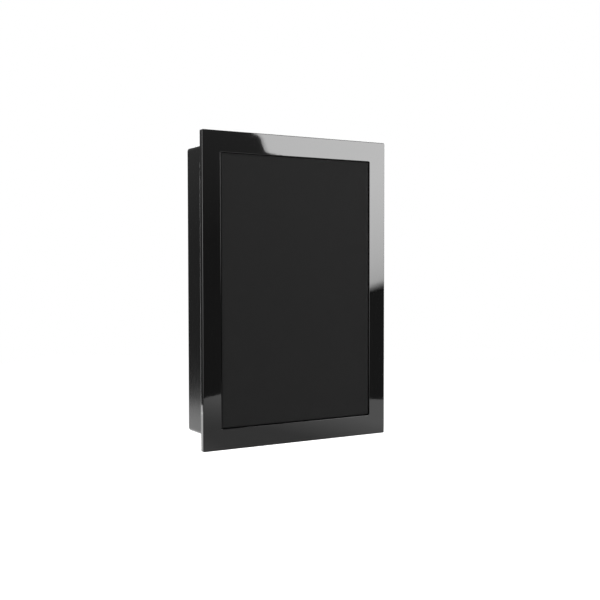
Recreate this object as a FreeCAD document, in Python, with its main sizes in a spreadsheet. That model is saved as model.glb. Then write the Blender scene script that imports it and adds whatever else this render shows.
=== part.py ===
import FreeCAD, Part
import math
import os
import re

import Sketcher

# On-wall three-way speaker, in millimetres.
# The origin is the middle of the rear face on the wall; the front faces -Y and +Z is up.
# Plates are given by their distance from the wall; turned pieces by radius and depth behind the baffle.

sizes = {
    # Front frame
    "frame_w": 350,
    "frame_h": 510,
    "frame_thick": 9.5,
    "total_depth": 98,
    "frame_corner_r": 2,
    "frame_arris_r": 1,
    "border_side": 32,
    "border_end": 34,
    "opening_corner_r": 2.5,
    "opening_arris_r": 0.7,
    # Cabinet
    "box_w": 314,
    "box_h": 473,
    "box_corner_r": 6,
    "box_rear_r": 1.2,
    "wall_t": 12,
    "inner_corner_r": 1,
    "baffle_t": 15,
    "rear_t": 15,
    "brace_z": -2,
    "brace_t": 12,
    "brace_slot_w": 92,
    "brace_slot_h": 30,
    "brace_slot_x": 72,
    "brace_slot_r": 8,
    "pad_x": 66,
    "pad_wall_gap": 7,
    "pad_bottom": -215,
    "pad_h": 195,
    "pad_t": 30,
    # Grille
    "grille_gap": 1.4,
    "grille_recess": 1.3,
    "grille_corner_r": 2,
    "cloth_t": 0.7,
    "cloth_edge_r": 1.4,
    "cloth_return": 12,
    "grille_bar": 12,
    "cross_bar": 9,
    "cross_t": 3.4,
    "cross_low_z": 0,
    "cross_high_z": 124,
    "magnet_r": 4,
    "magnet_t": 3,
    "glue_gap": 0.05,
    # Bass unit
    "bass_z": -105,
    "bass_hole_r": 88,
    "bass_flange_r": 102,
    "bass_flange_t": 4,
    "bass_land_r": 92,
    "bass_throat_r": 84,
    "bass_wall_t": 3,
    "bass_wall_u": 10,
    "bass_ring_r": 54,
    "bass_ring_u": 34,
    "bass_ring_t": 3,
    "bass_ring_in": 30,
    "bass_seat_r": 58,
    "bass_seat_in": 49,
    "bass_seat_u": 27,
    "bass_slope_u": 8,
    "bass_window_in": 60,
    "bass_window_out": 81,
    "bass_window_turn": 43,
    "bass_skin_t": 1,
    "bass_roll_in": 72,
    "bass_roll_r": 6.5,
    "bass_rim_u": 3,
    "bass_rim_r": 71.5,
    "bass_rim_w": 4.5,
    "bass_cone_t": 0.8,
    "bass_neck_u": 20,
    "bass_cap_r": 27,
    "bass_cap_h": 7,
    "bass_cap_curve": 57,
    "bass_cap_t": 0.6,
    "bass_pole_r": 18,
    "bass_pole_gap": 0.4,
    "bass_former_t": 0.4,
    "bass_winding_t": 0.8,
    "bass_winding_h": 12,
    "bass_plate_gap": 0.5,
    "bass_former_h": 26,
    "bass_cup": 2,
    "bass_wave_out": 50,
    "bass_wave_in": 23,
    "bass_wave_r": 2.9,
    "bass_spider_t": 0.6,
    "bass_plate_r": 45,
    "bass_plate_t": 5,
    "bass_magnet_r": 50,
    "bass_magnet_in": 26,
    "bass_magnet_t": 14,
    "bass_yoke_t": 5,
    "bass_vent_r": 6,
    "bass_screw_ring": 97,
    "bass_screw_r": 1.75,
    "bass_head_r": 3.3,
    "bass_head_t": 2,
    "bass_hex_r": 1.65,
    "bass_hex_t": 1.2,
    "bass_screw_len": 12,
    # Midrange unit
    "mid_z": 62,
    "mid_hole_r": 48.5,
    "mid_flange_r": 59,
    "mid_flange_t": 4,
    "mid_land_r": 51,
    "mid_throat_r": 45,
    "mid_wall_t": 3,
    "mid_wall_u": 9,
    "mid_ring_r": 33,
    "mid_ring_u": 26,
    "mid_ring_t": 3,
    "mid_ring_in": 18,
    "mid_seat_r": 36,
    "mid_seat_in": 30,
    "mid_seat_u": 19,
    "mid_slope_u": 7,
    "mid_window_in": 37.5,
    "mid_window_out": 43,
    "mid_window_turn": 65,
    "mid_skin_t": 0.8,
    "mid_roll_in": 38,
    "mid_roll_r": 3.9,
    "mid_rim_u": 2.3,
    "mid_rim_r": 37.6,
    "mid_rim_w": 3.4,
    "mid_cone_t": 0.7,
    "mid_neck_u": 12,
    "mid_cap_r": 17,
    "mid_cap_h": 4.5,
    "mid_cap_curve": 35.2,
    "mid_cap_t": 0.5,
    "mid_pole_r": 12.2,
    "mid_pole_gap": 0.35,
    "mid_former_t": 0.35,
    "mid_winding_t": 0.6,
    "mid_winding_h": 7,
    "mid_plate_gap": 0.45,
    "mid_former_h": 23,
    "mid_cup": 1.2,
    "mid_wave_out": 30.5,
    "mid_wave_in": 16,
    "mid_wave_r": 1.7,
    "mid_spider_t": 0.5,
    "mid_plate_r": 34,
    "mid_plate_t": 4,
    "mid_magnet_r": 38,
    "mid_magnet_in": 18,
    "mid_magnet_t": 10,
    "mid_yoke_t": 4,
    "mid_vent_r": 4,
    "mid_screw_ring": 55,
    "mid_screw_r": 1.5,
    "mid_head_r": 2.7,
    "mid_head_t": 1.8,
    "mid_hex_r": 1.35,
    "mid_hex_t": 1.1,
    "mid_screw_len": 11,
    "chamber_r": 51,
    "chamber_t": 3,
    "chamber_len": 44,
    "chamber_lip_r": 57,
    "chamber_lip_t": 4,
    "chamber_edge_r": 5,
    # Tweeter
    "tweeter_z": 167.5,
    "tweeter_hole_r": 33,
    "tweeter_flange_r": 39,
    "tweeter_flange_t": 4,
    "tweeter_horn_r": 31.5,
    "tweeter_throat_r": 18,
    "tweeter_throat_u": 2.6,
    "tweeter_skin_t": 0.6,
    "tweeter_lip_r": 22,
    "tweeter_roll_out": 17.6,
    "tweeter_roll_in": 14.2,
    "tweeter_roll_r": 1.9,
    "tweeter_rim_r": 14,
    "tweeter_rim_t": 0.4,
    "tweeter_dome_r": 12.5,
    "tweeter_dome_h": 4.2,
    "tweeter_dome_curve": 21.2,
    "tweeter_pole_r": 12.2,
    "tweeter_pole_gap": 0.4,
    "tweeter_former_t": 0.3,
    "tweeter_former_h": 5.6,
    "tweeter_winding_t": 0.4,
    "tweeter_winding_h": 3,
    "tweeter_plate_gap": 0.5,
    "tweeter_plate_r": 28,
    "tweeter_plate_t": 4.4,
    "tweeter_magnet_r": 30,
    "tweeter_magnet_in": 17,
    "tweeter_magnet_t": 8,
    "tweeter_yoke_t": 4,
    "tweeter_vent_r": 3,
    "tweeter_screw_ring": 35.3,
    "tweeter_screw_r": 1.4,
    "tweeter_head_r": 2.4,
    "tweeter_head_t": 1.6,
    "tweeter_hex_r": 1.2,
    "tweeter_hex_t": 1,
    "tweeter_screw_len": 10,
    # Drive unit fits
    "cone_pole_sink": 1,
    "dome_pole_sink": 0.4,
    "spider_fit": 0.5,
    "spider_seat_lip": 1,
    "window_gap": 0.5,
    "gasket_t": 1,
    "gasket_inset": 0.5,
    "roll_gap": 0.3,
    "rebate_gap": 0.3,
    "head_sink": 0.2,
    "head_gap": 0.25,
    # Crossover
    "card_wall_gap": 5,
    "card_chamber_gap": 7,
    "card_z": 110,
    "card_h": 190,
    "card_t": 1.6,
    "card_corner_r": 2,
    "standoff_h": 8,
    "standoff_r": 3,
    "standoff_inset": 4.5,
    "snap_r": 1.4,
    "snap_head_r": 2.6,
    "snap_head_t": 1.8,
    "coil_edge": 2,
    "coil_pitch": 73,
    "coil_r": 19,
    "coil_bore_r": 8,
    "coil_h": 20,
    "can_edge": 1,
    "can_pitch": 62,
    "can_r": 9,
    "can_len": 44,
    "block_w": 36,
    "block_h": 10,
    "block_t": 9,
    # Terminals
    "cup_wall_gap": 7,
    "cup_z": 100,
    "cup_w": 60,
    "cup_h": 66,
    "cup_corner_r": 6,
    "cup_depth": 40,
    "cup_wall": 2.5,
    "cup_fit": 0.2,
    "lip_w": 6,
    "lip_t": 3,
    "lip_corner_r": 4,
    "post_dx": 13,
    "post_r": 3,
    "post_end": 10,
    "post_tail": 52,
    "post_collar_r": 7,
    "post_collar_t": 3,
    "socket_r": 2,
    "socket_len": 16,
    "knob_r": 7.5,
    "knob_gap": 0.1,
    "knob_end": 10.5,
    "knob_len": 17.5,
    "knurl_r": 0.8,
    "nut_r": 5.8,
    "nut_t": 4,
    "cup_screw_x": 33,
    "cup_screw_z": 36,
    "cup_screw_r": 1.4,
    "cup_tip_gap": 0.4,
    "cup_head_r": 2.4,
    "cup_head_t": 1.6,
    "cup_screw_len": 10,
    # Wall fixing
    "recess_gap": 5,
    "recess_low": 146,
    "recess_high": 219.5,
    "recess_depth": 7,
    "recess_corner_r": 4,
    "steel_t": 2,
    "bracket_short": 4,
    "bracket_low": 148,
    "bracket_jog": 188,
    "bracket_offset": 2.4,
    "bracket_top": 200.1,
    "bracket_hole_x": 60,
    "bracket_hole_z": 168,
    "bracket_hole_dz": 12,
    "bracket_hole_r": 2.75,
    "hanger_w": 180,
    "hanger_low": 191,
    "hanger_jog": 200,
    "hanger_high": 218,
    "hanger_clear": 0.2,
    "hanger_screw_x": 70,
    "hanger_screw_in": 24.5,
    "hanger_screw_z": 211.5,
    "hanger_screw_r": 1.75,
    "hanger_head_r": 3.3,
    "hanger_head_t": 1.8,
    "hanger_screw_len": 7,
    "hole_gap": 0.1,
    # Internal leads
    "lead_r": 1.5,
    "lead_bend": 5,
    "input_lead_d": 59,
    "input_lead_z": 141,
    "input_lead_x": -72,
    "input_lead_dz": 4,
    "input_lead_dd": 5,
    "side_lead_x": -76,
    "tweeter_lead_u": 35.5,
    "tweeter_lead_z": 198.5,
    "tweeter_lead_in": 20,
    "mid_lead_x": -68,
    "mid_lead_z": 79,
    "mid_lead_u": 27.5,
    "bass_lead_z": 20,
    "bass_lead_u": 35.5,
}

doc = FreeCAD.newDocument("on_wall_speaker")
sheet = doc.addObject("Spreadsheet::Sheet", "dims")
for row, (alias, number) in enumerate(sizes.items(), 1):
    sheet.set(f"A{row}", alias)
    sheet.set(f"B{row}", str(number))
    sheet.setAlias(f"B{row}", alias)
doc.recompute()


def cells(text):
    # Turns size names into references to the sheet.
    return re.sub(r"[a-z]\w*", lambda m: "dims." + m[0] if m[0] in sizes else m[0], text)


def value(text):
    return float(sheet.evalExpression(cells(text)))


def piece(label, x="0", y="0", z="0"):
    body = doc.addObject("PartDesign::Body", label)
    body.Label = label
    body.AllowCompound = True
    for axis, place in (("x", x), ("y", y), ("z", z)):
        body.setExpression(f"Placement.Base.{axis}", cells(place))
    return body


def sketch_on(body, role, offset):
    sketch = body.newObject("Sketcher::SketchObject", body.Name + "_sketch")
    plane = next(f for f in body.Origin.OriginFeatures if f.Role == role)
    sketch.AttachmentSupport = (plane, [""])
    sketch.MapMode = "FlatFace"
    sketch.setExpression("AttachmentOffset.Base.z", cells(offset))
    return sketch


def bind(sketch, constraint, text):
    sketch.setExpression(f"Constraints[{sketch.addConstraint(constraint)}]", cells(text))


def draw_loop(sketch, points):
    # A point is (x, y), or (x, y, r) where an arc of radius r leads to the next point.
    # A positive radius bulges to the left of the way to the next point, a negative one to the right.
    first = sketch.GeometryCount
    count = len(points)
    spots = [FreeCAD.Vector(value(p[0]), value(p[1]), 0) for p in points]
    for i, point in enumerate(points):
        start, end = spots[i], spots[(i + 1) % count]
        if len(point) == 2:
            sketch.addGeometry(Part.LineSegment(start, end), False)
            continue
        radius = value(point[2])
        chord = end - start
        left = FreeCAD.Vector(-chord.y, chord.x, 0).normalize()
        reach = math.sqrt(max(radius ** 2 - chord.Length ** 2 / 4, 0))
        middle = (start + end) * 0.5 - left * math.copysign(reach, radius)
        low, high = (end, start) if radius > 0 else (start, end)
        turns = [math.atan2(v.y - middle.y, v.x - middle.x) for v in (low, high)]
        round_edge = Part.Circle(middle, FreeCAD.Vector(0, 0, 1), abs(radius))
        sketch.addGeometry(Part.ArcOfCircle(round_edge, *turns), False)
    ends = []
    for i in range(count):
        forward = sketch.Geometry[first + i].StartPoint.distanceToPoint(spots[i]) < 1e-6
        ends.append((1, 2) if forward else (2, 1))
    for i in range(count):
        before = (i - 1) % count
        sketch.addConstraint(Sketcher.Constraint(
            "Coincident", first + before, ends[before][1], first + i, ends[i][0]))
    for i, point in enumerate(points):
        vertex = (first + i, ends[i][0])
        bind(sketch, Sketcher.Constraint("DistanceX", -1, 1, *vertex, spots[i].x), point[0])
        bind(sketch, Sketcher.Constraint("DistanceY", -1, 1, *vertex, spots[i].y), point[1])
        if len(point) == 3:
            size = Sketcher.Constraint("Radius", first + i, abs(value(point[2])))
            bind(sketch, size, f"abs({point[2]})")


def draw_circle(sketch, x, y, radius):
    middle = FreeCAD.Vector(value(x), value(y), 0)
    edge = sketch.addGeometry(Part.Circle(middle, FreeCAD.Vector(0, 0, 1), value(radius)), False)
    bind(sketch, Sketcher.Constraint("DistanceX", -1, 1, edge, 3, middle.x), x)
    bind(sketch, Sketcher.Constraint("DistanceY", -1, 1, edge, 3, middle.y), y)
    bind(sketch, Sketcher.Constraint("Radius", edge, value(radius)), radius)


def draw(sketch, loops):
    # A loop is a list of points, or one (x, y, radius) for a circle.
    for loop in loops:
        if isinstance(loop, tuple):
            draw_circle(sketch, *loop)
        else:
            draw_loop(sketch, loop)
    doc.recompute()


def rounded(x0, z0, x1, z1, r):
    bend = f"-({r})"
    r = f"({r})"
    return [
        (f"{x0} + {r}", z0), (f"{x1} - {r}", z0, bend),
        (x1, f"{z0} + {r}"), (x1, f"{z1} - {r}", bend),
        (f"{x1} - {r}", z1), (f"{x0} + {r}", z1, bend),
        (x0, f"{z1} - {r}"), (x0, f"{z0} + {r}", bend),
    ]


def centred(w, h, r, x="0", z="0"):
    return rounded(f"{x} - ({w}) / 2", f"{z} - ({h}) / 2", f"{x} + ({w}) / 2", f"{z} + ({h}) / 2", r)


def hexagon(x, z, radius):
    turns = [math.radians(60 * k) for k in range(6)]
    return [(f"{x} + {radius} * {math.cos(a):.6f}", f"{z} + {radius} * {math.sin(a):.6f}") for a in turns]


def ring_of(count, ring, first=0):
    # Places evenly round a circle, as pairs of expressions.
    turns = [math.radians(first + 360 * k / count) for k in range(count)]
    return [(f"{ring} * {math.cos(a):.6f}", f"{ring} * {math.sin(a):.6f}") for a in turns]


def circles(places, radius):
    return [(x, z, radius) for x, z in places]


def slab(body, back, front, loops, role="XZ_Plane"):
    # Adds material between two distances from the wall.
    sketch = sketch_on(body, role, back)
    draw(sketch, loops)
    pad = body.newObject("PartDesign::Pad", body.Name + "_pad")
    pad.Profile = sketch
    pad.setExpression("Length", cells(f"{front} - ({back})"))
    doc.recompute()
    return pad


def cut(body, back, front, loops, role="XZ_Plane"):
    # Removes material between two distances from the wall.
    sketch = sketch_on(body, role, front)
    draw(sketch, loops)
    pocket = body.newObject("PartDesign::Pocket", body.Name + "_pocket")
    pocket.Profile = sketch
    pocket.setExpression("Length", cells(f"{front} - ({back})"))
    doc.recompute()
    return pocket


def turned(label, points, z):
    # Revolves a profile of (radius, depth behind the baffle's face) about a drive unit's axis.
    body = piece(label, "0", f"-({baffle_face})", z)
    sketch = sketch_on(body, "XY_Plane", "0")
    draw(sketch, [points])
    turn = body.newObject("PartDesign::Revolution", label + "_turn")
    turn.Profile = sketch
    turn.ReferenceAxis = (sketch, ["V_Axis"])
    turn.Angle = 360
    doc.recompute()
    return body


def repeat_round(body, feature, count):
    pattern = body.newObject("PartDesign::PolarPattern", body.Name + "_round")
    pattern.Originals = [feature]
    axis = next(f for f in body.Origin.OriginFeatures if f.Role == "Y_Axis")
    pattern.Axis = (axis, [""])
    pattern.Angle = 360
    pattern.Occurrences = count
    body.Tip = pattern
    doc.recompute()


def edges_where(body, test):
    return [f"Edge{i}" for i, edge in enumerate(body.Tip.Shape.Edges, 1) if test(edge.BoundBox)]


def round_over(body, radius, test):
    base = body.Tip
    names = edges_where(body, test)
    fillet = body.newObject("PartDesign::Fillet", body.Name + "_fillet")
    fillet.Base = (base, names)
    fillet.setExpression("Radius", cells(radius))
    doc.recompute()


def at_depth(depth, inside=None, outside=None):
    # Picks edges that lie flat at a distance from the wall, within or beyond a half width.
    level = -value(depth)

    def test(box):
        flat = abs(box.YMin - level) < 1e-4 and abs(box.YMax - level) < 1e-4
        reach = max(abs(box.XMin), abs(box.XMax)) / value("frame_w")
        rise = max(abs(box.ZMin), abs(box.ZMax)) / value("frame_h")
        share = max(reach, rise) * 2
        return flat and (inside is None or share < inside) and (outside is None or share > outside)

    return test


baffle_face = "(total_depth - frame_thick)"
baffle_back = "(total_depth - frame_thick - baffle_t)"
opening_w = "(frame_w - 2 * border_side)"
opening_h = "(frame_h - 2 * border_end)"
inner_w = "(box_w - 2 * wall_t)"
inner_h = "(box_h - 2 * wall_t)"
pad_end = f"({inner_w} / 2 - pad_wall_gap)"
card_w = f"({inner_w} / 2 - card_wall_gap - card_chamber_gap - chamber_lip_r)"
card_x = f"(card_wall_gap + {card_w} / 2 - {inner_w} / 2)"
coil_x = f"(card_wall_gap + coil_edge + coil_r - {inner_w} / 2)"
can_x = "(-chamber_lip_r - card_chamber_gap - can_edge - can_r)"
cup_x = f"({inner_w} / 2 - cup_wall_gap - lip_w - cup_w / 2)"

# Front frame: one ring with softened arrises inside and out
frame = piece("front_frame")
slab(frame, baffle_face, "total_depth", [
    centred("frame_w", "frame_h", "frame_corner_r"),
    centred(opening_w, opening_h, "opening_corner_r"),
])
round_over(frame, "opening_arris_r", at_depth("total_depth", inside=0.95))
round_over(frame, "frame_arris_r", at_depth("total_depth", outside=0.97))
round_over(frame, "frame_arris_r", at_depth(baffle_face, outside=0.97))

# Cabinet: sleeve of four walls, rear panel let into it, baffle across its front, and a window brace
sleeve = piece("cabinet_sleeve")
slab(sleeve, "0", baffle_back, [
    centred("box_w", "box_h", "box_corner_r"),
    centred(inner_w, inner_h, "inner_corner_r"),
])
round_over(sleeve, "box_rear_r", at_depth("0", outside=0.89))

units = {
    "bass": {"count": 6, "first": 0, "z": "bass_z"},
    "mid": {"count": 4, "first": 45, "z": "mid_z"},
    "tweeter": {"count": 3, "first": 90, "z": "tweeter_z"},
}
magnet_x = f"({opening_w} / 2 - grille_gap - cloth_t - grille_bar / 2)"
magnet_z = f"({opening_h} / 2 - grille_gap - cloth_t - grille_bar / 2)"
magnet_places = [(x, z) for x in (f"-{magnet_x}", magnet_x) for z in (f"-{magnet_z}", "0", magnet_z)]

baffle = piece("baffle")
slab(baffle, baffle_back, baffle_face, [centred("box_w", "box_h", "box_corner_r")])
for name, unit in units.items():
    seat = f"{baffle_face} - {name}_flange_t - gasket_t"
    cut(baffle, seat, baffle_face, [("0", unit["z"], f"{name}_flange_r + rebate_gap")])
    cut(baffle, baffle_back, seat, [("0", unit["z"], f"{name}_hole_r")])
    spots = ring_of(unit["count"], f"{name}_screw_ring", unit["first"])
    pilots = [(x, f"{unit['z']} + {z}", f"{name}_screw_r + glue_gap") for x, z in spots]
    tip = f"{baffle_face} - head_sink - {name}_head_t - {name}_screw_len"
    cut(baffle, tip, seat, pilots)
cut(baffle, f"{baffle_face} - magnet_t", baffle_face, circles(magnet_places, "magnet_r + glue_gap"))

card_corners = [
    (f"{card_x} + {sx} * ({card_w} / 2 - standoff_inset)", f"card_z + {sz} * (card_h / 2 - standoff_inset)")
    for sx in (-1, 1) for sz in (-1, 1)
]
cup_corners = [
    (f"{cup_x} + {sx} * cup_screw_x", f"cup_z + {sz} * cup_screw_z") for sx in (-1, 1) for sz in (-1, 1)
]
hanger_places = [
    (f"{sx} * {x}", "hanger_screw_z") for sx in (-1, 1) for x in ("hanger_screw_x", "hanger_screw_in")
]
hanger_tip = "recess_depth + hanger_screw_len"
lip_outline = ("cup_w + 2 * lip_w", "cup_h + 2 * lip_w")

rear = piece("rear_panel")
slab(rear, "0", "rear_t", [centred(inner_w, inner_h, "inner_corner_r")])
cut(rear, "0", "recess_depth", [
    rounded("-hanger_w / 2 - recess_gap", "recess_low", "hanger_w / 2 + recess_gap", "recess_high",
            "recess_corner_r"),
])
cut(rear, "recess_depth", hanger_tip, circles(hanger_places, "hanger_screw_r + glue_gap"))
cut(rear, "0", "rear_t", [
    centred("cup_w + 2 * cup_fit", "cup_h + 2 * cup_fit", "cup_corner_r", cup_x, "cup_z"),
])
cut(rear, "0", "lip_t", [
    centred(*(f"{side} + 2 * cup_fit" for side in lip_outline), "lip_corner_r", cup_x, "cup_z"),
])
cup_tip = "cup_head_t + cup_screw_len"
cut(rear, "lip_t", f"{cup_tip} + cup_tip_gap", circles(cup_corners, "cup_screw_r + glue_gap"))

brace = piece("brace")
slab(brace, "rear_t", baffle_back, [centred(inner_w, "brace_t", "glue_gap", "0", "brace_z")])
brace_mid = f"-(rear_t + {baffle_back}) / 2"
cut(brace, "brace_z - brace_t / 2", "brace_z + brace_t / 2", [
    centred("brace_slot_w", "brace_slot_h", "brace_slot_r", x, brace_mid)
    for x in ("-brace_slot_x", "brace_slot_x")
], role="XY_Plane")

pads = piece("damping_pads")
slab(pads, "rear_t", "rear_t + pad_t", [
    rounded("pad_x", "pad_bottom", pad_end, "pad_bottom + pad_h", "box_corner_r"),
    rounded(f"-{pad_end}", "pad_bottom", "-pad_x", "pad_bottom + pad_h", "box_corner_r"),
])

# Grille: moulded frame, cloth wrapped over its front and edges, magnets that hold it to the baffle
cloth_w = f"({opening_w} - 2 * grille_gap)"
cloth_h = f"({opening_h} - 2 * grille_gap)"
cloth_face = "(total_depth - grille_recess)"
lattice_face = "(total_depth - grille_recess - cloth_t)"
lattice_back = f"({baffle_face} + cloth_t)"
lattice_w = f"({cloth_w} - 2 * cloth_t)"
lattice_h = f"({cloth_h} - 2 * cloth_t)"

cloth = piece("grille_cloth")
slab(cloth, baffle_face, cloth_face, [centred(cloth_w, cloth_h, "grille_corner_r")])
round_over(cloth, "cloth_edge_r", at_depth(cloth_face))
cut(cloth, lattice_back, lattice_face, [centred(lattice_w, lattice_h, "grille_corner_r - cloth_t")])
cut(cloth, baffle_face, lattice_back, [
    centred(f"{lattice_w} - 2 * cloth_return", f"{lattice_h} - 2 * cloth_return", "grille_corner_r"),
])

lattice = piece("grille_frame")
slab(lattice, lattice_back, lattice_face, [
    centred(lattice_w, lattice_h, "grille_corner_r - cloth_t"),
    centred(f"{lattice_w} - 2 * grille_bar", f"{lattice_h} - 2 * grille_bar", "grille_corner_r"),
])
for bar_z in ("cross_low_z", "cross_high_z"):
    slab(lattice, f"{lattice_face} - cross_t", lattice_face, [
        rounded(f"-{lattice_w} / 2 + grille_bar / 2", f"{bar_z} - cross_bar / 2",
                f"{lattice_w} / 2 - grille_bar / 2", f"{bar_z} + cross_bar / 2", "glue_gap"),
    ])
cut(lattice, lattice_back, f"{lattice_back} + magnet_t", circles(magnet_places, "magnet_r + glue_gap"))

slab(piece("grille_magnets"), lattice_back, f"{lattice_back} + magnet_t", circles(magnet_places, "magnet_r"))
slab(piece("baffle_magnets"), f"{baffle_face} - magnet_t", baffle_face, circles(magnet_places, "magnet_r"))


def screw_set(name, spots, z):
    # Cap head screws with a hexagon socket, one solid each, heads just under the flange's face.
    body = piece(f"{name}_screws", "0", "0", z)
    head = f"{baffle_face} - head_sink"
    neck = f"{head} - {name}_head_t"
    slab(body, neck, head, circles(spots, f"{name}_head_r"))
    slab(body, f"{neck} - {name}_screw_len", neck, circles(spots, f"{name}_screw_r"))
    cut(body, f"{head} - {name}_hex_t", head, [hexagon(x, y, f"{name}_hex_r") for x, y in spots])


def drill_flange(body, name, spots):
    # Counterbored holes through a flange, in the unit's own frame.
    sink = f"-(head_sink + {name}_head_t)"
    cut(body, sink, "0", circles(spots, f"{name}_head_r + head_gap"))
    cut(body, f"-{name}_flange_t", sink, circles(spots, f"{name}_screw_r + head_gap"))


def flange_gasket(name, spots, z):
    seat = f"{name}_flange_t + gasket_t"
    gasket = turned(f"{name}_gasket", [
        (f"{name}_flange_r - gasket_inset", f"{name}_flange_t"), (f"{name}_flange_r - gasket_inset", seat),
        (f"{name}_hole_r + gasket_inset", seat), (f"{name}_hole_r + gasket_inset", f"{name}_flange_t"),
    ], z)
    cut(gasket, f"-({seat})", f"-{name}_flange_t", circles(spots, f"{name}_screw_r + head_gap"))


def motor(name, start, yoke_r, pole_face, z):
    # Top plate, ring magnet and yoke with its vented pole, stacked from a depth behind the baffle's face.
    bore = f"{name}_pole_r + {name}_pole_gap + {name}_former_t + {name}_winding_t + {name}_plate_gap"
    plate_end = f"{start} + {name}_plate_t"
    magnet_end = f"{plate_end} + {name}_magnet_t"
    yoke_end = f"{magnet_end} + {name}_yoke_t"
    turned(f"{name}_top_plate", [
        (bore, start), (f"{name}_plate_r", start), (f"{name}_plate_r", plate_end), (bore, plate_end),
    ], z)
    turned(f"{name}_magnet", [
        (f"{name}_magnet_in", plate_end), (f"{name}_magnet_r", plate_end),
        (f"{name}_magnet_r", magnet_end), (f"{name}_magnet_in", magnet_end),
    ], z)
    turned(f"{name}_yoke", [
        (f"{name}_vent_r", pole_face), (f"{name}_pole_r", pole_face), (f"{name}_pole_r", magnet_end),
        (yoke_r, magnet_end), (yoke_r, yoke_end), (f"{name}_vent_r", yoke_end),
    ], z)


def voice_coil(name, top, middle, z):
    # Former with its winding, centred on the top plate.
    inner = f"{name}_pole_r + {name}_pole_gap"
    skin = f"{inner} + {name}_former_t"
    outer = f"{skin} + {name}_winding_t"
    first = f"{middle} - {name}_winding_h / 2"
    last = f"{middle} + {name}_winding_h / 2"
    end = f"{top} + {name}_former_h"
    turned(f"{name}_voice_coil", [
        (inner, top), (skin, top), (skin, first), (outer, first),
        (outer, last), (skin, last), (skin, end), (inner, end),
    ], z)


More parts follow.
